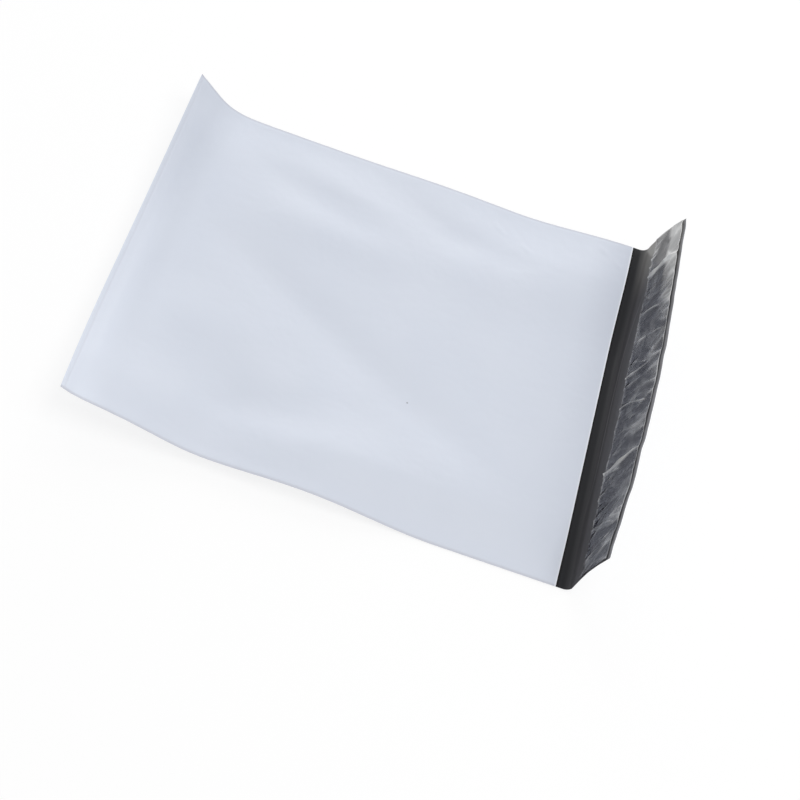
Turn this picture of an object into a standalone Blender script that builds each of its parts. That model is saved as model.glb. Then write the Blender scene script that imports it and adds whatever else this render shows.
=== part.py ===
"""Poly mailer bag, lying empty as it comes off the pack.

One sheet of co-extruded film, white outside and dark grey inside, is folded at
the bottom and welded along both sides. The back panel runs on past the mouth as
a flap that carries an adhesive strip under a clear release liner. The film keeps
some curl: the fold lifts, most at its far corner, and the flap stands up.

Frame, in metres: +X runs from the fold to the flap, +Y from the near side to
the far side, +Z up. The origin is the middle of the back panel, on the floor.
"along" is measured on the flat film from the fold, "across" from the near side.
"""
import math

import bmesh
import bpy
from mathutils import Vector

# Flat film
BAG_LENGTH = 0.300          # fold to mouth
BAG_WIDTH = 0.250           # side to side, welds included
FLAP_LENGTH = 0.055         # back panel past the mouth
FILM_THICKNESS = 0.00007
WELD_WIDTH = 0.003          # hot-knife side weld
AIR_GAP = 0.0003            # between the panels at the welds and the fold

# Adhesive strip and release liner on the flap
LINER_WIDTH = 0.028
LINER_MARGIN = 0.0025       # bare film from the liner to the flap's free edge
LINER_INSET = 0.0005        # liner end to the film's side edge
LINER_THICKNESS = 0.00005
STRIP_WIDTH = 0.016
STRIP_INSET = 0.006         # strip end to the film's side edge
STRIP_THICKNESS = 0.00015
CONTACT_GAP = 0.0003        # film to strip, and strip to liner

# Curl kept by the film at its fold end
FOLD_CURL_NEAR = 0.011      # curled length of the panel at the near side
FOLD_CURL_FAR = 0.050       # the same at the far side
FOLD_CURL_RADIUS = 0.040
CORNER_CURL_ALONG = 0.190   # reach of the slow lift of the near fold corner
CORNER_CURL_ACROSS = 0.190
CORNER_CURL_RADIUS = 0.370

# Set of the flap
FLAP_FLAT = 0.004           # lies flat past the mouth before it bends
FLAP_BEND_RADIUS = 0.005
FLAP_RISE_DEGREES = 83.5
FLAP_EASE_RADIUS = 0.220    # slow bend back towards the free edge
FLAP_LEAN_DEGREES = 8.0     # the middle of the flap leans out this much further
FLAP_TWIST_DEGREES = 4.0    # and its far end this much more than its near end

# Heights of the soft rises of the whole bag, and of the front panel alone
NEAR_CORNER_RISE = 0.0030
NEAR_EDGE_RISE = 0.0085
MOUTH_CORNER_RISE = 0.0070
FAR_EDGE_RISE = 0.0015
TALL_PILLOW = 0.0022
LOW_PILLOW = 0.0015

# Soft rises, each: place along and across, reach along and across, height.
# Places and reaches are shares of the panel's length and width.
PANEL_RISES = (
    (0.12, 0.00, 0.16, 0.25, NEAR_CORNER_RISE),
    (0.50, 0.00, 0.26, 0.28, NEAR_EDGE_RISE),
    (1.02, 1.00, 0.29, 0.35, MOUTH_CORNER_RISE),
    (0.60, 1.00, 0.24, 0.18, FAR_EDGE_RISE),
)
# Air left between the panels lifts the front one.
FRONT_PILLOWS = (
    (0.24, 0.66, 0.18, 0.26, LOW_PILLOW),
    (0.36, 0.34, 0.22, 0.24, LOW_PILLOW),
    (0.58, 0.60, 0.22, 0.24, TALL_PILLOW),
    (0.70, 0.26, 0.18, 0.20, LOW_PILLOW),
    (0.84, 0.66, 0.12, 0.22, LOW_PILLOW),
)

# Mesh stations
FOLD_STATIONS = 9           # over the curled fold end
PANEL_STATIONS = 17         # from there to the mouth
BEND_STATIONS = 5           # over the flap's bend
FLAP_STATIONS = 7           # from there to the free edge
CROSS_STATIONS = 20         # between the welds
NORMAL_STEP = 0.0005        # flat distance over which the film's slope is taken


def bend_past(distance, radius):
    """Set-back and lift of film that rolls up past a line, at a flat distance from it."""
    turn = max(distance, 0.0) / radius
    return radius * math.sin(turn) - max(distance, 0.0), radius * (1.0 - math.cos(turn))


def curl(along, across, start, end, radius):
    """Shift of a film point where the film rolls up past the line from start to end."""
    run = (end - start).normalized()
    beyond = Vector((-run.y, run.x))
    distance = (Vector((along, across)) - start).dot(beyond)
    setback, lift = bend_past(distance, radius)
    return Vector((beyond.x * setback, beyond.y * setback, lift))


def soft_rise(along, across, rises):
    """Height of the rises that reach this point."""
    height = 0.0
    for place_along, place_across, reach_along, reach_across, peak in rises:
        from_along = (along / BAG_LENGTH - place_along) / reach_along
        from_across = (across / BAG_WIDTH - place_across) / reach_across
        share = min(math.hypot(from_along, from_across), 1.0)
        height += peak * math.cos(share * math.pi / 2.0) ** 2
    return height


def flap_shift(along, across):
    """Run along the ground and height of a flap point, measured from the mouth."""
    past_mouth = along - BAG_LENGTH
    if past_mouth <= FLAP_FLAT:
        return past_mouth, 0.0
    share = across / BAG_WIDTH
    lean = FLAP_LEAN_DEGREES * math.sin(math.pi * share) + FLAP_TWIST_DEGREES * (share - 0.5)
    rise = math.radians(FLAP_RISE_DEGREES - lean)
    bend_length = FLAP_BEND_RADIUS * rise
    in_bend = min(past_mouth - FLAP_FLAT, bend_length)
    turn = in_bend / FLAP_BEND_RADIUS
    run = FLAP_FLAT + FLAP_BEND_RADIUS * math.sin(turn)
    height = FLAP_BEND_RADIUS * (1.0 - math.cos(turn))
    past_bend = past_mouth - FLAP_FLAT - in_bend
    eased = rise - past_bend / FLAP_EASE_RADIUS
    run += FLAP_EASE_RADIUS * (math.sin(rise) - math.sin(eased))
    height += FLAP_EASE_RADIUS * (math.cos(eased) - math.cos(rise))
    return run, height


def film_underside(along, across):
    """Where a point of the flat back film lies on the resting bag."""
    point = Vector((min(along, BAG_LENGTH) - BAG_LENGTH / 2.0, across - BAG_WIDTH / 2.0, 0.0))
    fold_line = Vector((FOLD_CURL_NEAR, 0.0)), Vector((FOLD_CURL_FAR, BAG_WIDTH))
    corner_line = Vector((CORNER_CURL_ALONG, 0.0)), Vector((0.0, CORNER_CURL_ACROSS))
    point += curl(along, across, *fold_line, FOLD_CURL_RADIUS)
    point += curl(along, across, *corner_line, CORNER_CURL_RADIUS)
    point.z += soft_rise(along, across, PANEL_RISES)
    if along > BAG_LENGTH:
        run, height = flap_shift(along, across)
        point += Vector((run, 0.0, height))
    return point


def film_point(along, across, above):
    """A point at a height above the back film's underside, square to the film."""
    step_along = film_underside(along + NORMAL_STEP, across) - film_underside(along - NORMAL_STEP, across)
    step_across = film_underside(along, across + NORMAL_STEP) - film_underside(along, across - NORMAL_STEP)
    normal = step_along.cross(step_across).normalized()
    return film_underside(along, across) + normal * above


def spaced(start, end, steps):
    """Even stations from start to end, both included."""
    return [start + (end - start) * n / steps for n in range(steps + 1)]


def panel_stations():
    """Stations along the panel, from the fold to the mouth."""
    curled = max(FOLD_CURL_NEAR, FOLD_CURL_FAR)
    return spaced(0.0, curled, FOLD_STATIONS) + spaced(curled, BAG_LENGTH, PANEL_STATIONS)[1:]


def flap_stations():
    """Stations along the flap, past the mouth to the free edge."""
    bend_end = min(FLAP_FLAT + FLAP_BEND_RADIUS * math.radians(FLAP_RISE_DEGREES), FLAP_LENGTH * 0.5)
    bend = spaced(BAG_LENGTH, BAG_LENGTH + bend_end, BEND_STATIONS)
    rest = spaced(BAG_LENGTH + bend_end, BAG_LENGTH + FLAP_LENGTH, FLAP_STATIONS)
    return bend[1:] + rest[1:]


def pocket_stations():
    """Stations across the pocket, from one weld's inner edge to the other's."""
    return spaced(WELD_WIDTH, BAG_WIDTH - WELD_WIDTH, CROSS_STATIONS)


def pocket_height(along, across):
    """Clear height between the panels."""
    return AIR_GAP + soft_rise(along, across, FRONT_PILLOWS)


def add_row(bm, along, stations, above):
    """Vertices across the film at one station, each at its own height above the underside."""
    return [bm.verts.new(film_point(along, across, above(along, across))) for across in stations]


def add_fold_row(bm, lower_row, upper_row, stations):
    """Vertices that round the fold, half the pair's height past its two end rows."""
    row = []
    for lower, upper, across in zip(lower_row, upper_row, stations):
        outwards = film_underside(0.0, across) - film_underside(NORMAL_STEP, across)
        height = (upper.co - lower.co).length
        middle = (lower.co + upper.co) / 2.0
        row.append(bm.verts.new(middle + outwards.normalized() * height / 2.0))
    return row


def loft(bm, rows, material_index):
    """Quads between neighbouring rows."""
    for row, following in zip(rows, rows[1:]):
        for n in range(len(row) - 1):
            corners = (row[n], row[n + 1], following[n + 1], following[n])
            bm.faces.new(corners).material_index = material_index


def add_face(bm, corners, material_index):
    """One face between the given corners."""
    bm.faces.new(corners).material_index = material_index


def build_film(outside, inside):
    """The folded and welded sheet: back panel with flap, fold, front panel and pocket."""
    white, dark = 0, 1
    panel = panel_stations()
    flap = flap_stations()
    pocket = pocket_stations()
    across_all = [0.0] + pocket + [BAG_WIDTH]
    bm = bmesh.new()

    def at_back(along, across):
        return 0.0

    def at_seam(along, across):
        return FILM_THICKNESS

    def at_front_inside(along, across):
        return FILM_THICKNESS + pocket_height(along, across)

    def at_front(along, across):
        welded = across in (0.0, BAG_WIDTH)
        return 2.0 * FILM_THICKNESS + (0.0 if welded else pocket_height(along, across))

    back = [add_row(bm, along, across_all, at_back) for along in panel + flap]
    front = [add_row(bm, along, across_all, at_front) for along in panel]
    front_inside = [add_row(bm, along, pocket, at_front_inside) for along in panel]
    back_inside = [add_row(bm, along, pocket, at_seam) for along in panel]
    near_seam = [add_row(bm, along, [0.0], at_seam)[0] for along in panel]
    far_seam = [add_row(bm, along, [BAG_WIDTH], at_seam)[0] for along in panel]
    mouth_floor = [near_seam[-1]] + back_inside[-1] + [far_seam[-1]]
    flap_top = [mouth_floor] + [add_row(bm, along, across_all, at_seam) for along in flap]

    loft(bm, back, white)
    loft(bm, front, white)
    loft(bm, front_inside, dark)
    loft(bm, back_inside, dark)
    loft(bm, flap_top, dark)
    loft(bm, [back[-1], flap_top[-1]], white)

    # The fold, where the film turns back on itself
    nose = add_fold_row(bm, back[0], front[0], across_all)
    nose_inside = add_fold_row(bm, back_inside[0], front_inside[0], pocket)
    loft(bm, [back[0], nose, front[0]], white)
    loft(bm, [back_inside[0], nose_inside, front_inside[0]], dark)

    # Cut edges of the two welds, then of the flap
    for side, seam in ((0, near_seam), (-1, far_seam)):
        back_edge = [row[side] for row in back]
        front_edge = [row[side] for row in front]
        loft(bm, [back_edge[:len(panel)], seam, front_edge], white)
        loft(bm, [back_edge[len(panel) - 1:], [row[side] for row in flap_top]], white)
        add_face(bm, (nose[side], back_edge[0], seam[0], front_edge[0]), white)

    # The pocket's two long sides, at the welds
    for side in (0, -1):
        loft(bm, [[row[side] for row in front_inside], [row[side] for row in back_inside]], dark)
        add_face(bm, (back_inside[0][side], nose_inside[side], front_inside[0][side]), dark)

    # Front panel's edge at the mouth, and the ends of the welds there
    loft(bm, [front[-1][1:-1], front_inside[-1]], white)
    for outer, inner, last in ((0, 1, 0), (-1, -2, -1)):
        weld_end = (front[-1][outer], front[-1][inner], front_inside[-1][last],
                    back_inside[-1][last], mouth_floor[outer])
        add_face(bm, weld_end, white)

    bmesh.ops.recalc_face_normals(bm, faces=bm.faces)
    return new_object("bag_film", bm, (outside, inside))


def build_band(name, start, width, inset, above, thickness, material):
    """A thin band that follows the flap from side to side."""
    bm = bmesh.new()
    stations = spaced(inset, BAG_WIDTH - inset, CROSS_STATIONS)
    band = spaced(start, start + width, FLAP_STATIONS)
    lower = [add_row(bm, along, stations, lambda along, across: above) for along in band]
    upper = [add_row(bm, along, stations, lambda along, across: above + thickness) for along in band]
    loft(bm, lower, 0)
    loft(bm, upper, 0)
    loft(bm, [lower[0], upper[0]], 0)
    loft(bm, [lower[-1], upper[-1]], 0)
    for side in (0, -1):
        loft(bm, [[row[side] for row in lower], [row[side] for row in upper]], 0)
    bmesh.ops.recalc_face_normals(bm, faces=bm.faces)
    return new_object(name, bm, (material,))


def new_object(name, bm, materials):
    """Turn the mesh into a smooth-shaded object that keeps its sharp film edges."""
    mesh = bpy.data.meshes.new(name)
    bm.to_mesh(mesh)
    bm.free()
    for material in materials:
        mesh.materials.append(material)
    mesh.shade_smooth()
    mesh.set_sharp_from_angle(angle=math.radians(40))
    built = bpy.data.objects.new(name, mesh)
    bpy.context.collection.objects.link(built)
    return built


def plain_material(name, colour, roughness, alpha=1.0):
    """A Principled material of one colour."""
    material = bpy.data.materials.new(name)
    material.use_nodes = True
    shader = material.node_tree.nodes["Principled BSDF"]
    shader.inputs["Base Color"].default_value = (*colour, 1.0)
    shader.inputs["Roughness"].default_value = roughness
    shader.inputs["Metallic"].default_value = 0.0
    shader.inputs["Alpha"].default_value = alpha
    material.diffuse_color = (*colour, alpha)
    return material


def build_bag():
    """Clear the scene, then build the film, the adhesive strip and the liner."""
    for old in list(bpy.data.objects):
        bpy.data.objects.remove(old, do_unlink=True)

    film_outside = plain_material("white_film", (0.67, 0.71, 0.78), 0.42)
    film_inside = plain_material("dark_film", (0.045, 0.046, 0.052), 0.38)
    adhesive = plain_material("adhesive", (0.30, 0.29, 0.28), 0.25)
    clear_liner = plain_material("clear_liner", (0.62, 0.62, 0.62), 0.15, alpha=0.4)

    liner_start = BAG_LENGTH + FLAP_LENGTH - LINER_MARGIN - LINER_WIDTH
    strip_start = liner_start + (LINER_WIDTH - STRIP_WIDTH) / 2.0
    strip_above = FILM_THICKNESS + CONTACT_GAP
    liner_above = strip_above + STRIP_THICKNESS + CONTACT_GAP

    build_film(film_outside, film_inside)
    build_band("adhesive_strip", strip_start, STRIP_WIDTH, STRIP_INSET,
               strip_above, STRIP_THICKNESS, adhesive)
    build_band("release_liner", liner_start, LINER_WIDTH, LINER_INSET,
               liner_above, LINER_THICKNESS, clear_liner)


build_bag()
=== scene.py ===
import math

import bmesh
import bpy
import numpy as np
from mathutils import Matrix, Vector, noise


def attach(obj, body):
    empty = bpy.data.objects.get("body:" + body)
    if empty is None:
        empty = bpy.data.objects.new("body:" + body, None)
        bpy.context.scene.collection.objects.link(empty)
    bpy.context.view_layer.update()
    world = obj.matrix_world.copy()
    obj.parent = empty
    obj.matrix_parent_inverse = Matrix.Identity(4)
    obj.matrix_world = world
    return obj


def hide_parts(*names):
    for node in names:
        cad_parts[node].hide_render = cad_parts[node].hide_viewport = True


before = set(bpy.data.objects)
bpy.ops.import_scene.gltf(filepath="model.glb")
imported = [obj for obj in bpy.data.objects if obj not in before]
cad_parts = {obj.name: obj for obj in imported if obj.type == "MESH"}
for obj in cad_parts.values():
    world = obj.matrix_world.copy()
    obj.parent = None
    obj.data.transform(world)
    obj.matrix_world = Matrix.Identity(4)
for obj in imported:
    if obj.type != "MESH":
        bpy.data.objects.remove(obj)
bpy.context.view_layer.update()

# Bag film
# One sheet of blown polyethylene, white outside and dark grey inside. It is folded
# at the bottom, trim-welded by a hot knife along both sides, and its back panel runs
# on past the mouth as the closure flap. It keeps the curl it was stored with.

BAG_LENGTH = 0.300            # fold to mouth, on the flat film
BAG_WIDTH = 0.250
FLAP_LENGTH = 0.055
FILM_THICKNESS = 0.00007
WELD_WIDTH = 0.0022
AIR_GAP = 0.0003              # between the panels at the welds and the fold

FOLD_CURL_NEAR = 0.011        # curled length of the panel at each side
FOLD_CURL_FAR = 0.047
FOLD_CURL_RADIUS = 0.030
CURL_ONSET = 0.012            # the curl comes in softly over about this length
CORNER_CURL_ALONG = 0.190     # slow lift of the near fold corner
CORNER_CURL_ACROSS = 0.190
CORNER_CURL_RADIUS = 0.370
CURL_LIMIT = 0.85             # past this angle in radians the curled film runs straight

FLAP_FLAT = 0.004             # the flap runs on flat this far past the mouth
FLAP_BEND_RADIUS = 0.005
FLAP_RISE = math.radians(83.5)  # it stands up this steeply past its bend
FLAP_EASE_RADIUS = 0.220      # and eases off again on this radius
FLAP_LEAN = math.radians(8)   # the middle of the flap leans out this much further
FLAP_TWIST = math.radians(4)  # and its far end leans out this much more than its near end

# Soft rises: place along and across, reach along and across, height. The first four
# are shares of the panel's length and width.
PANEL_RISES = (
    (0.12, 0.00, 0.16, 0.25, 0.0030),
    (0.50, 0.00, 0.26, 0.28, 0.0085),
    (1.02, 1.00, 0.29, 0.35, 0.0070),
    (0.60, 1.00, 0.24, 0.18, 0.0015),
)
# Long soft folds of the front panel: start along and across, end along and across,
# half-width, height
SOFT_FOLDS = (
    (0.110, 0.022, 0.280, 0.044, 0.034, 0.0037),
    (0.042, 0.165, 0.266, 0.043, 0.015, -0.0019),
    (0.066, 0.187, 0.176, 0.182, 0.017, 0.0018),
    (0.056, 0.222, 0.140, 0.190, 0.011, -0.0009),
    (0.114, 0.262, 0.217, 0.195, 0.013, -0.0019),
    (0.083, 0.236, 0.169, 0.200, 0.010, 0.0008),
    (0.178, 0.200, 0.288, 0.203, 0.026, 0.0028),
    (0.035, 0.092, 0.110, 0.090, 0.020, 0.0015),
    (0.035, 0.233, 0.034, 0.086, 0.010, -0.0008),
    (0.012, 0.010, 0.013, 0.160, 0.011, 0.0018),
    (0.075, 0.040, 0.150, 0.046, 0.016, -0.0012),
    (0.085, 0.068, 0.165, 0.066, 0.024, 0.0019),
    (0.190, 0.218, 0.240, 0.206, 0.011, -0.0014),
)
SLACK_HEIGHT = 0.0022         # air left in the pocket
SIDE_SETTLE = 0.036           # the air thins out over this distance from the welds
MOUTH_SETTLE = 0.08           # and over this one before the mouth

FOLD_PRESS = 0.0024           # strip pressed flat along the fold
FOLD_RIDGE = 0.00018          # the film springs up by this much beside that strip
RIDGE_RISE = 0.0012
RIDGE_REACH = 0.007
COCKLE_HEIGHT = 0.00040       # slack left in the front panel
COCKLE_SIZE = 0.055
SMALL_COCKLE_SIZE = 0.024
PUCKER_HEIGHT = 0.00025       # ripples drawn in by the side welds
PUCKER_REACH = 0.009
PUCKER_SIZE = 0.006
MOUTH_LIP = 0.00015           # the cut edge of the front panel lifts off the back film
MOUTH_LIP_REACH = 0.004
FLAP_RIPPLE = 0.0009
FLAP_RIPPLE_SIZE = 0.06
SMALL_RIPPLE_SIZE = 0.02

SLOPE_STEP = 0.0005           # the film's slope is taken over this distance
PANEL_SPACING = 0.0021        # of the mesh's vertices
FINE_EDGE = 0.010             # the mesh is finer this close to the fold and the welds
FINE_MOUTH = 0.006            # and this close to the mouth
FINE_FLAP = 0.016             # and in the flap, this far past the mouth

# Small handling creases of the front panel: start along and across, end along and across
CREASES = (
    (0.2100, 0.2365, 0.2220, 0.2265),
    (0.2300, 0.2260, 0.2410, 0.2185),
    (0.2770, 0.2435, 0.2880, 0.2365),
    (0.2890, 0.2355, 0.2965, 0.2290),
)
CREASE_WIDTH = 0.0032

BEND_HIGHLIGHT_PAST_MOUTH = 0.0098     # a painted highlight along the bend inside the flap, which bows about
BEND_HIGHLIGHT_MIDDLE = 0.11           # this place across
BEND_HIGHLIGHT_BOW = 10.0

SPECK_ALONG = 0.190           # a dark grain of dirt in the film
SPECK_ACROSS = 0.085
SPECK_SIZE = 0.0011

DIM_WHITE = (0.665, 0.710, 0.805, 1.0)
CLEAR_WHITE = (0.705, 0.745, 0.830, 1.0)
# painted sheen: paler near the fold, most of all at its near corner
CORNER_SHEEN_WHITE = (0.760, 0.805, 0.900, 1.0)
# painted shade and painted reflection of the dark flap, near the mouth
MOUTH_SHADE_WHITE = (0.605, 0.645, 0.735, 1.0)
PRESSED_WHITE = (0.640, 0.645, 0.730, 1.0)
WELD_WHITE = (0.560, 0.575, 0.650, 1.0)
# painted highlight along the cut edge at the mouth
CUT_EDGE_HIGHLIGHT_WHITE = (0.820, 0.840, 0.900, 1.0)
DIRT = (0.20, 0.21, 0.24, 1.0)

DARK = (0.011, 0.0115, 0.0135, 1.0)
DARK_STREAK = (0.022, 0.0225, 0.0265, 1.0)
# painted shadow under the front panel's edge at the mouth
MOUTH_SHADOW_DARK = (0.003, 0.003, 0.004, 1.0)
# painted reflection on the bent-up flap, paler still at its far end
RAISED_SHEEN_DARK = (0.125, 0.123, 0.132, 1.0)
FAR_END_SHEEN_GREY = (0.300, 0.295, 0.280, 1.0)
# painted sheen along the flap's free margin
FREE_EDGE_SHEEN_GREY = (0.260, 0.260, 0.270, 1.0)
# painted highlight along the flap's bend
BEND_HIGHLIGHT_GREY = (0.180, 0.180, 0.190, 1.0)


def curl(along, across, start, end, radius):
    """Shift of film points where the film rolls up past the line from start to end."""
    run = np.subtract(end, start) / np.hypot(*np.subtract(end, start))
    beyond = np.array((-run[1], run[0]))
    distance = (along - start[0]) * beyond[0] + (across - start[1]) * beyond[1]
    distance = 0.5 * (distance + np.sqrt(distance ** 2 + CURL_ONSET ** 2))
    turn = np.minimum(distance / radius, CURL_LIMIT)
    straight = distance - radius * turn
    setback = radius * np.sin(turn) + straight * math.cos(CURL_LIMIT) - distance
    lift = radius * (1.0 - np.cos(turn)) + straight * math.sin(CURL_LIMIT)
    return np.stack((beyond[0] * setback, beyond[1] * setback, lift), -1)


def soft_rise(along, across):
    """Height of the soft rises at each point."""
    height = np.zeros(np.broadcast(along, across).shape)
    for place_along, place_across, reach_along, reach_across, peak in PANEL_RISES:
        from_along = (along / BAG_LENGTH - place_along) / reach_along
        from_across = (across / BAG_WIDTH - place_across) / reach_across
        share = np.minimum(np.hypot(from_along, from_across), 1.0)
        height += peak * np.cos(share * math.pi / 2.0) ** 2
    return height


def flap_shift(past_mouth, across):
    """Run along the ground and height of flap points, measured from the mouth."""
    share = across / BAG_WIDTH
    rise = FLAP_RISE - FLAP_LEAN * np.sin(math.pi * share) - FLAP_TWIST * (share - 0.5)
    in_bend = np.clip(past_mouth - FLAP_FLAT, 0.0, FLAP_BEND_RADIUS * rise)
    past_bend = np.maximum(past_mouth - FLAP_FLAT - FLAP_BEND_RADIUS * rise, 0.0)
    turn = in_bend / FLAP_BEND_RADIUS
    eased = rise - past_bend / FLAP_EASE_RADIUS
    run = np.clip(past_mouth, 0.0, FLAP_FLAT) + FLAP_BEND_RADIUS * np.sin(turn)
    run = run + FLAP_EASE_RADIUS * (np.sin(rise) - np.sin(eased))
    height = FLAP_BEND_RADIUS * (1.0 - np.cos(turn))
    height = height + FLAP_EASE_RADIUS * (np.cos(eased) - np.cos(rise))
    return run, height


def film_underside(along, across):
    """Where points of the flat back film lie on the resting bag."""
    run, height = flap_shift(along - BAG_LENGTH, across)
    point = np.stack((
        np.minimum(along, BAG_LENGTH) - BAG_LENGTH / 2.0 + run,
        across - BAG_WIDTH / 2.0,
        height + soft_rise(along, across),
    ), -1)
    for start, end, radius in (
            ((FOLD_CURL_NEAR, 0.0), (FOLD_CURL_FAR, BAG_WIDTH), FOLD_CURL_RADIUS),
            ((CORNER_CURL_ALONG, 0.0), (0.0, CORNER_CURL_ACROSS), CORNER_CURL_RADIUS)):
        point += curl(along, across, start, end, radius)
    return point


def film_point(along, across, above):
    """Points at a height above the back film's underside, square to the film."""
    step = SLOPE_STEP
    step_along = film_underside(along + step, across) - film_underside(along - step, across)
    step_across = film_underside(along, across + step) - film_underside(along, across - step)
    normal = np.cross(step_along, step_across)
    normal /= np.linalg.norm(normal, axis=-1, keepdims=True)
    return film_underside(along, across) + normal * np.asarray(above)[..., None]


def smooth(value, low, high):
    """0 below low, 1 above high and a smooth step between."""
    share = np.clip((value - low) / (high - low), 0.0, 1.0)
    return share * share * (3.0 - 2.0 * share)


def hump(value, rise_from, rise_to, fall_from, fall_to):
    """1 from rise_to to fall_from, with a smooth step on either side."""
    return smooth(value, rise_from, rise_to) * (1.0 - smooth(value, fall_from, fall_to))


def cockle(along, across, size, stretch, seed):
    """Smooth waves from -1 to 1 of about that size, drawn out across the bag by stretch."""
    def at(a, c):
        return noise.noise(Vector((a / size, c / (size * stretch), seed)))
    return np.vectorize(at)(along, across)


def soft_folds(along, across):
    """Height of the long soft folds."""
    height = 0.0
    for start_along, start_across, end_along, end_across, reach, peak in SOFT_FOLDS:
        run = np.array((end_along - start_along, end_across - start_across))
        length = np.hypot(*run)
        share = ((along - start_along) * run[0] + (across - start_across) * run[1]) / length ** 2
        off = ((across - start_across) * run[0] - (along - start_along) * run[1]) / length
        ends = hump(share, -0.15, 0.30, 0.70, 1.15)
        height = height + peak * ends * np.exp(-(off / reach) ** 2)
    return height


def side_distance(across):
    """Distance to the nearer side of the bag."""
    return np.minimum(across, BAG_WIDTH - across)


def back_detail(along, across):
    """Fine lift of the back film: puckers at the welds, and ripples in the free flap."""
    edge = 1.0 - smooth(side_distance(across), 0.0, PUCKER_REACH)
    wave = cockle(along, across, size=PUCKER_SIZE, stretch=3.0, seed=5.0)
    puckers = PUCKER_HEIGHT * edge * (0.5 + 0.5 * wave)
    free = smooth(along, BAG_LENGTH + FLAP_FLAT, BAG_LENGTH + FLAP_LENGTH)
    large = cockle(along, across, size=FLAP_RIPPLE_SIZE, stretch=0.35, seed=11.0)
    small = cockle(along, across, size=SMALL_RIPPLE_SIZE, stretch=0.4, seed=12.0)
    return puckers + FLAP_RIPPLE * free * (large + 0.35 * small)


def pocket_height(along, across):
    """Clear height between the panels."""
    large = cockle(along, across, size=COCKLE_SIZE, stretch=1.6, seed=1.0)
    small = cockle(along, across, size=SMALL_COCKLE_SIZE, stretch=1.3, seed=2.0)
    relaxed = SLACK_HEIGHT + COCKLE_HEIGHT * (0.65 * large + 0.35 * small) + soft_folds(along, across)
    settled = smooth(side_distance(across), 0.0, SIDE_SETTLE) * smooth(along, -0.004, 0.012)
    settled = settled * (1.0 - 0.25 * smooth(along, BAG_LENGTH - MOUTH_SETTLE, BAG_LENGTH))
    height = AIR_GAP + settled * np.maximum(relaxed, 0.0)
    past_press = along - FOLD_PRESS
    height = height + FOLD_RIDGE * hump(past_press, 0.0, RIDGE_RISE, RIDGE_RISE, RIDGE_REACH)
    lip = smooth(along, BAG_LENGTH - MOUTH_LIP_REACH, BAG_LENGTH) ** 2
    return height + MOUTH_LIP * lip * smooth(side_distance(across), WELD_WIDTH, 0.012)


def stations(*runs):
    """Stations along the film from runs of (start, end, spacing)."""
    marks = [np.linspace(a, b, max(2, round((b - a) / gap) + 1))[:-1] for a, b, gap in runs]
    return np.concatenate(marks + [[runs[-1][1]]])


def film_stations():
    """Stations along the panels, along the flap and across the pocket."""
    spacing = PANEL_SPACING
    panel = stations((0.0, 0.004, 0.0004), (0.004, FINE_EDGE, 0.001),
                     (FINE_EDGE, BAG_LENGTH - FINE_MOUTH, spacing),
                     (BAG_LENGTH - FINE_MOUTH, BAG_LENGTH, 0.0007))
    flap = stations((BAG_LENGTH, BAG_LENGTH + FINE_FLAP, 0.0008),
                    (BAG_LENGTH + FINE_FLAP, BAG_LENGTH + FLAP_LENGTH, 0.0016))[1:]
    pocket = stations((WELD_WIDTH, FINE_EDGE, 0.0009),
                      (FINE_EDGE, BAG_WIDTH - FINE_EDGE, spacing),
                      (BAG_WIDTH - FINE_EDGE, BAG_WIDTH - WELD_WIDTH, 0.0009))
    return panel, flap, pocket


def pairs(along, across):
    """Every station along paired with every one across."""
    return np.meshgrid(along, across, indexing="ij")


def add_grid(bm, along, across, above):
    """Rows of vertices at a height above the film, which keep their places on the flat film."""
    points = film_point(along, across, above + back_detail(along, across))
    layers = bm.verts.layers.float["along"], bm.verts.layers.float["across"]
    rows = []
    for places in zip(points, along, across):
        row = []
        for point, *place in zip(*places):
            vertex = bm.verts.new(point)
            for layer, distance in zip(layers, place):
                vertex[layer] = distance
            row.append(vertex)
        rows.append(row)
    return rows


def loft(bm, rows, finish=0):
    """Quads between neighbouring rows."""
    for row, following in zip(rows, rows[1:]):
        for n in range(len(row) - 1):
            face = bm.faces.new((row[n], row[n + 1], following[n + 1], following[n]))
            face.material_index = finish


def fold_row(bm, lower_row, upper_row):
    """Vertices that round the fold, past its two end rows."""
    layer = bm.verts.layers.float["across"]
    row = []
    for lower, upper in zip(lower_row, upper_row):
        across = lower[layer]
        outwards = film_underside(0.0, across) - film_underside(SLOPE_STEP, across)
        outwards = Vector(outwards / np.linalg.norm(outwards))
        height = (upper.co - lower.co).length
        vertex = bm.verts.new((lower.co + upper.co) / 2.0 + outwards * height / 2.0)
        vertex[layer] = across
        row.append(vertex)
    return row


def start_mesh():
    """An empty mesh whose vertices keep their places on the flat film."""
    bm = bmesh.new()
    bm.verts.layers.float.new("along")
    bm.verts.layers.float.new("across")
    return bm


def finish_mesh(name, bm, finishes):
    """A smooth-shaded piece that rides on the bag."""
    bmesh.ops.recalc_face_normals(bm, faces=bm.faces)
    mesh = bpy.data.meshes.new(name)
    bm.to_mesh(mesh)
    bm.free()
    for finish in finishes:
        mesh.materials.append(finish)
    mesh.shade_smooth()
    mesh.set_sharp_from_angle(angle=math.radians(50))
    piece = bpy.data.objects.new(name, mesh)
    bpy.context.collection.objects.link(piece)
    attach(piece, "root")
    return piece


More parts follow.
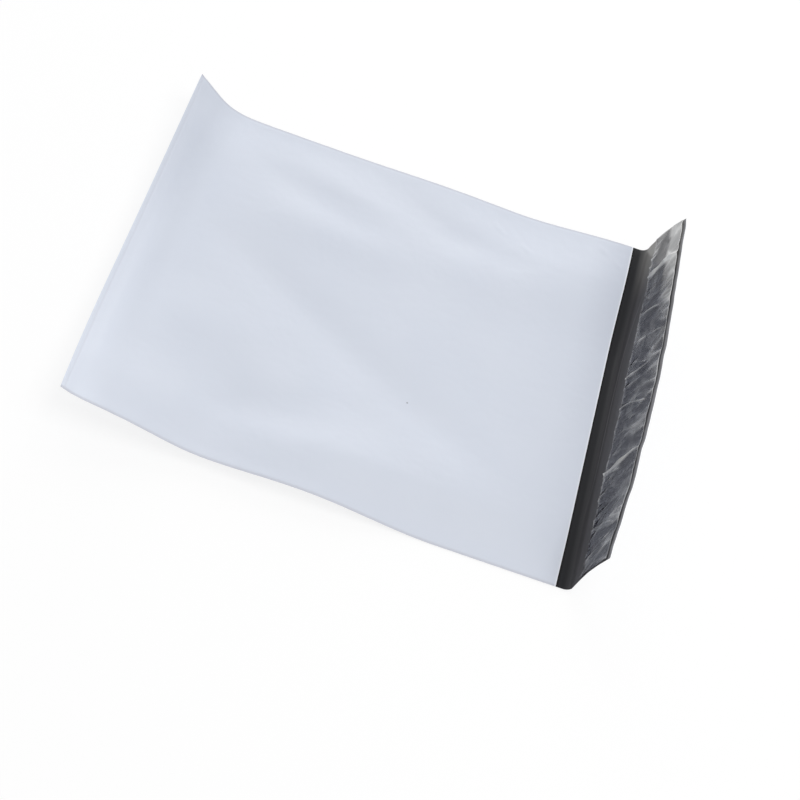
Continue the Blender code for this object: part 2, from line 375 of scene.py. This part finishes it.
def build_film(outside, inside):
    """The folded and welded film: back panel with flap, front panel, fold and pocket."""
    panel, flap, pocket = film_stations()
    across_all = np.concatenate(([0.0], pocket, [BAG_WIDTH]))
    white, dark = 0, 1
    bm = start_mesh()

    front_along, front_across = pairs(panel, across_all)
    welded = (front_across <= 0.0) | (front_across >= BAG_WIDTH)
    clear = np.where(welded, 0.0, pocket_height(front_along, front_across))
    in_pocket = pairs(panel, pocket)
    back = add_grid(bm, *pairs(np.concatenate((panel, flap)), across_all), 0.0)
    front = add_grid(bm, front_along, front_across, 2.0 * FILM_THICKNESS + clear)
    front_inside = add_grid(bm, *in_pocket, FILM_THICKNESS + pocket_height(*in_pocket))
    back_inside = add_grid(bm, *in_pocket, FILM_THICKNESS)
    near_seam, far_seam = (
        [row[0] for row in add_grid(bm, *pairs(panel, [side]), FILM_THICKNESS)]
        for side in (0.0, BAG_WIDTH))
    mouth_floor = [near_seam[-1]] + back_inside[-1] + [far_seam[-1]]
    flap_top = [mouth_floor] + add_grid(bm, *pairs(flap, across_all), FILM_THICKNESS)

    for rows in (back, front):
        loft(bm, rows, white)
    for rows in (front_inside, back_inside, flap_top):
        loft(bm, rows, dark)
    loft(bm, [back[-1], flap_top[-1]], white)

    nose = fold_row(bm, back[0], front[0])
    nose_inside = fold_row(bm, back_inside[0], front_inside[0])
    loft(bm, [back[0], nose, front[0]], white)
    loft(bm, [back_inside[0], nose_inside, front_inside[0]], dark)

    for side, seam in ((0, near_seam), (-1, far_seam)):
        back_edge = [row[side] for row in back]
        loft(bm, [back_edge[:len(panel)], seam, [row[side] for row in front]], white)
        loft(bm, [back_edge[len(panel) - 1:], [row[side] for row in flap_top]], white)
        bm.faces.new((nose[side], back_edge[0], seam[0], front[0][side])).material_index = white
        loft(bm, [[row[side] for row in front_inside], [row[side] for row in back_inside]], dark)
        pocket_end = back_inside[0][side], nose_inside[side], front_inside[0][side]
        bm.faces.new(pocket_end).material_index = dark

    loft(bm, [front[-1][1:-1], front_inside[-1]], white)
    for outer, inner, last in ((0, 1, 0), (-1, -2, -1)):
        weld_end = (front[-1][outer], front[-1][inner], front_inside[-1][last],
                    back_inside[-1][last], mouth_floor[outer])
        bm.faces.new(weld_end).material_index = white
    return finish_mesh("bag_film_dressed", bm, (outside, inside))


class Value:
    """A number that varies over a surface. Arithmetic on it adds Math nodes."""

    def __init__(self, nodes, socket):
        self.nodes, self.socket = nodes, socket

    def math(self, operation, *operands):
        """The result of a Math node on the operands."""
        made = self.nodes.node("ShaderNodeMath", {"operation": operation}, dict(enumerate(operands)))
        return Value(self.nodes, made.outputs[0])

    def __add__(self, other):
        return self.math("ADD", self, other)

    def __sub__(self, other):
        return self.math("SUBTRACT", self, other)

    def __rsub__(self, other):
        return self.math("SUBTRACT", other, self)

    def __mul__(self, other):
        return self.math("MULTIPLY", self, other)

    def __truediv__(self, other):
        return self.math("DIVIDE", self, other)

    def __rtruediv__(self, other):
        return self.math("DIVIDE", other, self)

    def __abs__(self):
        return self.math("ABSOLUTE", self)

    __radd__, __rmul__ = __add__, __mul__

    def most(self, other):
        """The larger of the two."""
        return self.math("MAXIMUM", self, other)

    def step(self, low, high):
        """0 below low, 1 above high and a smooth step between."""
        made = self.nodes.node("ShaderNodeMapRange", {"interpolation_type": "SMOOTHSTEP"},
                               {"Value": self, "From Min": low, "From Max": high})
        return Value(self.nodes, made.outputs["Result"])

    def hump(self, rise_from, rise_to, fall_from, fall_to):
        """1 from rise_to to fall_from, with a smooth step on either side."""
        return self.step(rise_from, rise_to) * (1.0 - self.step(fall_from, fall_to))


class Nodes:
    """A node tree that is being put together."""

    def __init__(self, tree):
        self.tree = tree

    def node(self, kind, settings=(), inputs=()):
        """A node of that type: its settings are set first, then its sockets."""
        made = self.tree.nodes.new(kind)
        for name, value in dict(settings).items():
            setattr(made, name, value)
        for name, value in dict(inputs).items():
            named = [s for s in made.inputs if s.enabled and name in (s.name, s.identifier)]
            self.feed(named[0] if named else made.inputs[name], value)
        return made

    def feed(self, socket, value):
        """Link a value to a socket, or set the socket to a plain one."""
        if isinstance(value, Value):
            self.tree.links.new(value.socket, socket)
        elif hasattr(value, "is_output"):
            self.tree.links.new(value, socket)
        else:
            socket.default_value = value


class Finish(Nodes):
    """A material that is being put together round its Principled shader."""

    def __init__(self, name, **constants):
        self.material = bpy.data.materials.new(name)
        self.material.use_nodes = True
        super().__init__(self.material.node_tree)
        self.shader = self.tree.nodes["Principled BSDF"]
        self.wear(**constants)

    def wear(self, **sockets):
        """Feed the shader's sockets, named in lower case, and give the material."""
        for words, value in sockets.items():
            socket = words.replace("_", " ").title().replace("Ior", "IOR")
            self.feed(self.shader.inputs[socket], value)
        return self.material

    def place(self, name):
        """A number that the mesh carries, such as how far along the flat film a point is."""
        made = self.node("ShaderNodeAttribute", {"attribute_name": name})
        return Value(self, made.outputs["Fac"])

    def spots(self, size, detail=2.0, roughness=0.5, stretch=(1.0, 1.0), distortion=0.0):
        """Cloudy noise from 0 to 1 with spots of that size.

        A stretch below 1 draws the spots out, along or across the flat film.
        """
        vector = self.node("ShaderNodeCombineXYZ", (), {
            "X": self.place("along") * (stretch[0] / size),
            "Y": self.place("across") * (stretch[1] / size)})
        made = self.node("ShaderNodeTexNoise", {"noise_dimensions": "3D"}, {
            "Vector": vector.outputs[0], "Scale": 1.0, "Detail": detail,
            "Roughness": roughness, "Distortion": distortion})
        return Value(self, made.outputs["Fac"])

    def blend(self, share, first, second):
        """first where share is 0, second where it is 1."""
        made = self.node("ShaderNodeMix", {"data_type": "RGBA"}, {
            "Factor_Float": share, "A_Color": first, "B_Color": second})
        return next(s for s in made.outputs if s.enabled)

    def crease(self, start_along, start_across, end_along, end_across):
        """1 on the line of a crease, 0 past its width and its two ends."""
        length = math.hypot(end_along - start_along, end_across - start_across)
        run_along = (end_along - start_along) / length
        run_across = (end_across - start_across) / length
        along = self.place("along") - start_along
        across = self.place("across") - start_across
        reached = along * run_along + across * run_across
        off = abs(across * run_along - along * run_across)
        ends = reached.hump(0.0, length * 0.4, length * 0.6, length)
        return ends * (1.0 - off.step(0.0, CREASE_WIDTH))

    def relief(self, height, distance):
        """Fine relief, as heights from 0 to 1 that are worth that distance."""
        made = self.node("ShaderNodeBump", (), {
            "Height": height, "Distance": distance, "Strength": 1.0})
        return made.outputs["Normal"]


def white_film():
    """The outside: satin white film with a cool cast, faint die lines and handling marks, and painted
    light and shade by the fold, the mouth and the cut edge.
    """
    finish = Finish("white_film", specular_ior_level=0.42, ior=1.5)
    along, across = finish.place("along"), finish.place("across")
    clouds = finish.spots(0.050, detail=3.0)
    grain = finish.spots(0.0012, detail=4.0, roughness=0.6)
    dimples = finish.spots(0.009, detail=1.5, roughness=0.45)
    die_lines = finish.spots(0.0025, detail=2.0, stretch=(1.0, 0.015))

    side = BAG_WIDTH / 2.0 - abs(across - BAG_WIDTH / 2.0)
    weld = 1.0 - side.step(0.0004, WELD_WIDTH)
    press = along.hump(0.0013, 0.0019, FOLD_PRESS, FOLD_PRESS + 0.0006)
    # painted highlight along the front panel's cut edge at the mouth
    cut = along.hump(BAG_LENGTH - 0.0010, BAG_LENGTH - 0.0006, BAG_LENGTH, BAG_LENGTH + 0.0001)
    # painted sheen: the panel is paler near the fold, most of all at its near corner
    corner = (1.0 - along.step(0.008, 0.030)) * (1.0 - across.step(0.12, 0.23))
    # painted shade and painted reflection of the standing dark flap: the panel darkens towards the
    # mouth, most of all on the far side
    mouth = along.step(BAG_LENGTH - 0.028, BAG_LENGTH + 0.002)
    mouth = mouth * (0.15 + across.step(0.05, 0.22) * 0.85)
    speck_along, speck_across = along - SPECK_ALONG, across - SPECK_ACROSS
    from_speck = speck_along * speck_along + speck_across * speck_across
    speck = 1.0 - from_speck.step((0.4 * SPECK_SIZE) ** 2, (0.6 * SPECK_SIZE) ** 2)

    colour = finish.blend(clouds, DIM_WHITE, CLEAR_WHITE)
    for share, tint in (
            (corner * 0.9, CORNER_SHEEN_WHITE), (mouth, MOUTH_SHADE_WHITE), (press * 0.25, PRESSED_WHITE),
            (weld * 0.7, WELD_WHITE), (cut, CUT_EDGE_HIGHLIGHT_WHITE), (speck * 0.6, DIRT)):
        colour = finish.blend(share, colour, tint)
    roughness = 0.38 + clouds * 0.10 + weld * 0.10
    height = grain * 0.08 + dimples + die_lines * 0.08
    for crease in CREASES:
        height = height + finish.crease(*crease) * 0.6
    return finish.wear(base_color=colour, roughness=roughness, normal=finish.relief(height, 0.00025))


def dark_film():
    """The inside: dark grey film with die streaks and a painted highlight along the flap's bend.

    It is painted paler where the flap is bent up, most of all at its far end: painted reflection of
    the white panel and the table.
    """
    finish = Finish("dark_film", specular_ior_level=0.16, ior=1.5)
    past_mouth, across = finish.place("along") - BAG_LENGTH, finish.place("across")
    streaks = finish.spots(0.006, detail=3.0, stretch=(1.0, 0.03))
    clouds = finish.spots(0.030, detail=2.0, stretch=(1.0, 0.4))
    grain = finish.spots(0.0010, detail=4.0, roughness=0.6)

    # painted reflection: the bent-up flap is paler, and paler still at its far end, where it reflects
    # the white panel and the table
    raised_sheen = past_mouth.step(0.004, 0.014)
    far_end_sheen = across.step(0.205, 0.246) * past_mouth.step(0.004, 0.015)
    # painted sheen: the flap's free margin is paler
    free_edge_sheen = past_mouth.step(FLAP_LENGTH - 0.0030, FLAP_LENGTH - 0.0020)
    # painted highlight: a pale line along the flap's bend, bowing across the flap
    from_middle = across - BEND_HIGHLIGHT_MIDDLE
    bow = from_middle * from_middle * from_middle * BEND_HIGHLIGHT_BOW
    off_bend_highlight = abs(past_mouth - bow - BEND_HIGHLIGHT_PAST_MOUTH)
    bend_highlight = (1.0 - off_bend_highlight.step(0.0002, 0.0007)) * across.hump(0.04, 0.12, 0.200, 0.218)

    colour = finish.blend(streaks, DARK, DARK_STREAK)
    # painted shadow: darkest just past the mouth, under the front panel's edge
    colour = finish.blend(past_mouth.step(0.0004, 0.0022), MOUTH_SHADOW_DARK, colour)
    for share, tint in (
            (raised_sheen * (0.7 + streaks * 0.3), RAISED_SHEEN_DARK), (far_end_sheen * 0.8, FAR_END_SHEEN_GREY),
            (free_edge_sheen, FREE_EDGE_SHEEN_GREY), (bend_highlight * 0.5, BEND_HIGHLIGHT_GREY)):
        colour = finish.blend(share, colour, tint)
    height = grain * 0.4 + streaks * 0.6
    return finish.wear(base_color=colour, roughness=0.17 + clouds * 0.12,
                       normal=finish.relief(height, 0.00006))


film = build_film(white_film(), dark_film())
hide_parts("bag_film")

# Adhesive strip
# A band of pressure-sensitive hot melt, slot-coated on the flap's inner face. It is
# nearly clear, so it shows as a slightly paler, glossier band under the liner.

STRIP_WIDTH = 0.016
STRIP_THICKNESS = 0.00008
STRIP_INSET = 0.006           # from each end of the strip to the side of the bag
STRIP_WAVER = 0.0005          # the coated edges wander by this much
LINER_WIDTH = 0.028
LINER_MARGIN = 0.0025         # from the liner to the flap's free edge
CONTACT_GAP = 0.00003

CLEAR_MELT = (0.030, 0.030, 0.035, 1.0)
STREAKED_MELT = (0.048, 0.048, 0.054, 1.0)

liner_start = BAG_LENGTH + FLAP_LENGTH - LINER_MARGIN - LINER_WIDTH
strip_start = liner_start + (LINER_WIDTH - STRIP_WIDTH) / 2.0


def close_band(bm, lower, upper):
    """The faces of a thin band: both sides and all four edges."""
    loft(bm, lower)
    loft(bm, upper)
    for end in (0, -1):
        loft(bm, [lower[end], upper[end]])
        loft(bm, [[row[end] for row in lower], [row[end] for row in upper]])


def build_strip(finish):
    """The strip's flat band with its soft, uneven coated edges."""
    bm = start_mesh()
    share, across = pairs(stations((0.0, 1.0, 0.06)),
                          stations((STRIP_INSET, BAG_WIDTH - STRIP_INSET, 0.002)))
    waver = STRIP_WAVER * cockle(share * 0.02, across, size=0.02, stretch=1.0, seed=21.0)
    along = strip_start + share * STRIP_WIDTH + waver
    crown = np.sqrt(np.clip(1.0 - (2.0 * share - 1.0) ** 8, 0.0, 1.0))
    base = FILM_THICKNESS + CONTACT_GAP
    lower = add_grid(bm, along, across, base)
    upper = add_grid(bm, along, across, base + STRIP_THICKNESS * (0.3 + 0.7 * crown))
    close_band(bm, lower, upper)
    return finish_mesh("adhesive_strip_dressed", bm, (finish,))


def adhesive():
    """Nearly clear, tacky hot melt over the dark film."""
    finish = Finish("adhesive", specular_ior_level=0.5, ior=1.48)
    streaks = finish.spots(0.002, detail=2.0, stretch=(1.0, 0.04))
    colour = finish.blend(streaks, CLEAR_MELT, STREAKED_MELT)
    return finish.wear(base_color=colour, roughness=0.25 + streaks * 0.1,
                       normal=finish.relief(streaks, 0.00008))


strip = build_strip(adhesive())
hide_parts("adhesive_strip")

# Release liner
# A strip of thin clear film over the adhesive, peeled off to close the bag. It is
# held only by the tack, so it has crept and wrinkled as the bag was bent.

LINER_INSET = 0.0005          # from each end of the liner to the side of the bag
LINER_SPACING = 0.0006        # of the mesh's vertices
LINER_THICKNESS = 0.00005
LINER_GAP = 0.00005           # at the tightest, between the liner and its adhesive
INNER_CREEP = 0.0027          # how far the inner edge has crept towards the mouth, and wanders
OUTER_CREEP = 0.0007
OUTER_LIFT = 0.0004           # the outer edge has come off the adhesive
INNER_LIFT = 0.0004
BULGE_HEIGHT = 0.00055        # slack film between the tucks
BULGE_SIZE = 0.014
CRINKLE_HEIGHT = 0.00032
CRINKLES = (                  # size, squeeze across, slant and seed of each kind
    (0.030, 0.45, 0.55, 33.0),
    (0.020, 0.40, 0.15, 34.0),
)
# Tucks across the liner: place across, slant, end share of the width, half-width, height
TUCKS = (
    (0.2370, 0.00, 0.30, 0.0012, 0.0012),
    (0.2315, 0.10, 0.28, 0.0010, 0.0014),
    (0.2265, 0.00, 0.26, 0.0009, 0.0012),
    (0.2215, 0.05, 1.30, 0.0014, 0.0019),
    (0.2060, -0.50, 0.65, 0.0007, 0.0008),
    (0.1890, 0.08, 0.80, 0.0007, 0.0009),
    (0.1800, 0.25, 0.60, 0.0006, 0.0006),
    (0.1725, -0.15, 0.95, 0.0008, 0.0011),
    (0.1570, -0.40, 0.85, 0.0007, 0.0007),
    (0.1420, 0.35, 1.30, 0.0007, 0.0010),
    (0.1195, -0.05, 1.30, 0.0007, 0.0009),
    (0.1045, 0.20, 0.80, 0.0006, 0.0007),
    (0.0890, 0.45, 0.65, 0.0005, 0.0005),
    (0.0740, 0.15, 1.30, 0.0009, 0.0015),
    (0.0700, -0.10, 0.70, 0.0005, 0.0007),
    (0.0550, 0.60, 0.70, 0.0006, 0.0008),
    (0.0340, -0.30, 0.95, 0.0006, 0.0005),
    (0.0110, 0.40, 1.10, 0.0007, 0.0007),
)
TUCK_BEND = 0.0018

TIGHT_LINER = (0.035, 0.034, 0.050, 1.0)
# haze, and painted highlight and reflection
HAZE_AND_SHEEN_LINER = (0.82, 0.82, 0.81, 1.0)


def edge_waves(across, size, seed):
    """Smooth waves from -1 to 1 along one edge of the liner."""
    return cockle(across, across * 0.0, size, stretch=1.0, seed=seed)


def liner_lift(share, across):
    """Height of the liner off its adhesive (share 0 is the inner edge, 1 the outer)."""
    inwards = share * LINER_WIDTH
    far = smooth(across, BAG_WIDTH * 0.35, BAG_WIDTH * 0.75)
    waver = 0.5 + 0.5 * edge_waves(across, size=0.022, seed=31.0)
    height = OUTER_LIFT * smooth(share, 0.62, 0.95) * (0.35 + 0.65 * far) * (0.4 + 0.6 * waver)
    height = height + INNER_LIFT * (1.0 - smooth(share, 0.0, 0.16)) * waver
    bulge = 0.5 + 0.5 * cockle(inwards, across, size=BULGE_SIZE, stretch=1.2, seed=32.0)
    height = height + BULGE_HEIGHT * bulge * smooth(share, 0.0, 0.2)
    for place, slant, end, width, tall in TUCKS:
        bend = TUCK_BEND * np.sin(share * 4.0 + place * 900.0)
        off = across - place - slant * inwards - bend
        uneven = cockle(inwards, across, size=0.009, stretch=3.0, seed=35.0 + place * 40.0)
        reach = (1.0 - smooth(share, end - 0.35, end)) * (1.0 - 0.5 * smooth(share, 0.75, 1.0))
        reach = reach * np.clip(0.65 + 0.9 * uneven, 0.1, 1.2)
        height = height + tall * reach * np.exp(-(np.abs(off) / width) ** 1.3)
    for size, squeeze, slant, seed in CRINKLES:
        wave = cockle(inwards, across - slant * inwards, size, squeeze, seed)
        height = height + CRINKLE_HEIGHT * np.clip(1.0 - 3.0 * np.abs(wave), 0.0, 1.0) ** 1.5
    return height


def build_liner(finish):
    """The wrinkled film over the strip."""
    bm = start_mesh()
    layer = bm.verts.layers.float.new("lift")
    spacing = LINER_SPACING
    share, across = pairs(stations((0.0, 1.0, spacing / LINER_WIDTH)),
                          stations((LINER_INSET, BAG_WIDTH - LINER_INSET, spacing)))
    wander = edge_waves(across, size=0.040, seed=41.0)
    wander = wander + 0.35 * edge_waves(across, size=0.011, seed=42.0)
    inner = -INNER_CREEP * (0.6 + wander)
    outer = OUTER_CREEP * edge_waves(across, size=0.030, seed=43.0)
    along = liner_start + share * LINER_WIDTH + inner * (1.0 - share) + outer * share
    lift = liner_lift(share, across)
    above = FILM_THICKNESS + 2.0 * CONTACT_GAP + STRIP_THICKNESS + LINER_GAP + lift
    lower = add_grid(bm, along, across, above)
    upper = add_grid(bm, along, across, above + LINER_THICKNESS)
    for rows in (lower, upper):
        for row, lift_row in zip(rows, lift):
            for vertex, lifted in zip(row, lift_row):
                vertex[layer] = lifted
    close_band(bm, lower, upper)
    return finish_mesh("release_liner_dressed", bm, (finish,))


def clear_liner():
    """Clear film: dark where it lies tight on the adhesive, hazier where it has lifted, with painted
    highlights along its edges and painted reflection mixed into the haze towards its far end.
    """
    finish = Finish("clear_liner", specular_ior_level=1.0, ior=1.5)
    across = finish.place("across")
    share = (finish.place("along") - liner_start) / LINER_WIDTH
    cloud = finish.spots(0.010, detail=4.0, roughness=0.55, stretch=(1.0, 0.5), distortion=0.5)
    scuffs = finish.spots(0.002, detail=3.0, stretch=(1.0, 0.3))

    lifted = finish.place("lift").step(0.0005, 0.0014)
    loose = (share + (cloud - 0.5) * 0.25).step(0.50, 0.66)
    patches = cloud.step(0.50, 0.64)
    # paler towards the far end: partly haze, partly painted reflection
    far = across.step(0.17, 0.215)
    end = across.step(0.205, 0.235)
    # painted highlight along both edges of the liner
    rim_highlight = 1.0 - share.hump(-0.10, 0.02, 0.965, 0.99)
    haze_and_sheen = lifted * 0.65 + loose * 0.03 + patches * 0.15 + rim_highlight * 0.42
    haze_and_sheen = haze_and_sheen + far * (0.03 + loose * 0.18) + end * (0.14 + loose * 0.26)
    colour = finish.blend(haze_and_sheen, TIGHT_LINER, HAZE_AND_SHEEN_LINER)
    return finish.wear(base_color=colour, roughness=0.12 + scuffs * 0.12, alpha=0.48 + haze_and_sheen * 0.35,
                       normal=finish.relief(scuffs, 0.00004))


liner = build_liner(clear_liner())
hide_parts("release_liner")

# Table, lamps and camera
# The bag lies on a plain white table in an even white room. One broad soft lamp is
# overhead and a second one is low behind the far side.

TABLE_DROP = 0.0006           # clear of the resting film, so the two never share a face
TABLE_REACH = 6.0             # from its middle to each edge
TABLE_WHITE = (0.92, 0.92, 0.92, 1.0)
TABLE_GLOW = 1.04
PLAIN_WHITE = (1.0, 1.0, 1.0, 1.0)
ROOM_STRENGTH = 0.46
FRAME_PIXELS = 800.0


def seen_plainly(nodes):
    """1 for the rays that should meet plain white, 0 for those that light the bag."""
    path = nodes.node("ShaderNodeLightPath")
    camera, glossy, clear = (
        Value(nodes, path.outputs[f"Is {ray} Ray"]) for ray in ("Camera", "Glossy", "Transmission"))
    return camera.most(glossy).most(clear)


def white_table():
    """A white table that shows white to the camera and still takes a soft shadow."""
    finish = Finish("white_table", base_color=TABLE_WHITE, roughness=0.9, specular_ior_level=0.0)
    glow = finish.node("ShaderNodeEmission", (), {"Color": PLAIN_WHITE, "Strength": TABLE_GLOW})
    place = finish.node("ShaderNodeTexCoord").outputs["Object"]
    length = finish.node("ShaderNodeVectorMath", {"operation": "LENGTH"}, {0: place})
    far = Value(finish, length.outputs["Value"]).step(0.3, 0.9)
    mix = finish.node("ShaderNodeMixShader", (), {
        0: seen_plainly(finish) * (0.8 + far * 0.2),
        1: finish.shader.outputs["BSDF"],
        2: glow.outputs["Emission"]})
    finish.feed(finish.tree.nodes["Material Output"].inputs["Surface"], mix.outputs["Shader"])
    return finish.material


def add_table():
    """The table top, which is stage and no part of the bag."""
    mesh = bpy.data.meshes.new("table")
    corners = [(x * TABLE_REACH, y * TABLE_REACH, -TABLE_DROP)
               for x, y in ((-1, -1), (1, -1), (1, 1), (-1, 1))]
    mesh.from_pydata(corners, [], [(0, 1, 2, 3)])
    mesh.materials.append(white_table())
    table = bpy.data.objects.new("table", mesh)
    bpy.context.collection.objects.link(table)


def add_room():
    """Even white light, and plain white behind the bag."""
    world = bpy.data.worlds.new("room")
    bpy.context.scene.world = world
    world.use_nodes = True
    room = Nodes(world.node_tree)
    light = room.tree.nodes["Background"]
    room.feed(light.inputs["Color"], PLAIN_WHITE)
    room.feed(light.inputs["Strength"], ROOM_STRENGTH)
    white = room.node("ShaderNodeBackground", (), {"Color": PLAIN_WHITE, "Strength": 1.0})
    mix = room.node("ShaderNodeMixShader", (), {
        0: seen_plainly(room), 1: light.outputs[0], 2: white.outputs[0]})
    room.feed(room.tree.nodes["World Output"].inputs["Surface"], mix.outputs[0])


def add_lamp(name, place, size, watts):
    """A square soft lamp that faces the bag."""
    lamp = bpy.data.lights.new(name, "AREA")
    lamp.shape = "SQUARE"
    lamp.size = size
    lamp.energy = watts
    holder = bpy.data.objects.new(name, lamp)
    holder.location = place
    holder.rotation_euler = (-Vector(place)).to_track_quat("-Z", "Y").to_euler()
    bpy.context.collection.objects.link(holder)


def add_camera(azimuth, elevation, roll, pixels_per_radian, target, distance):
    """A rolled long-lens camera; the focal length is in pixels of the square frame."""
    azimuth, elevation, roll = map(math.radians, (azimuth, elevation, roll))
    back = Vector((math.sin(azimuth) * math.cos(elevation),
                   -math.cos(azimuth) * math.cos(elevation), math.sin(elevation)))
    level = Vector((math.cos(azimuth), math.sin(azimuth), 0.0))
    upright = back.cross(level)
    right = level * math.cos(roll) + upright * math.sin(roll)
    up = upright * math.cos(roll) - level * math.sin(roll)
    camera = bpy.data.cameras.new("camera")
    camera.sensor_width = 36.0
    camera.lens = camera.sensor_width * pixels_per_radian / FRAME_PIXELS
    holder = bpy.data.objects.new("camera", camera)
    turn = Matrix((right, up, back)).transposed().to_4x4()
    holder.matrix_world = Matrix.Translation(Vector(target) + back * distance) @ turn
    bpy.context.collection.objects.link(holder)
    bpy.context.scene.camera = holder


add_table()
add_room()
add_lamp("top_lamp", place=(0.43, -0.10, 1.50), size=1.0, watts=9.6)
add_lamp("back_lamp", place=(-0.25, 1.55, 0.78), size=1.5, watts=10.5)
add_camera(azimuth=-7.57, elevation=55.33, roll=25.37, pixels_per_radian=2072.0,
           target=(0.0356, -0.0389, 0.0), distance=1.2128)
bpy.context.scene.view_settings.view_transform = "Standard"
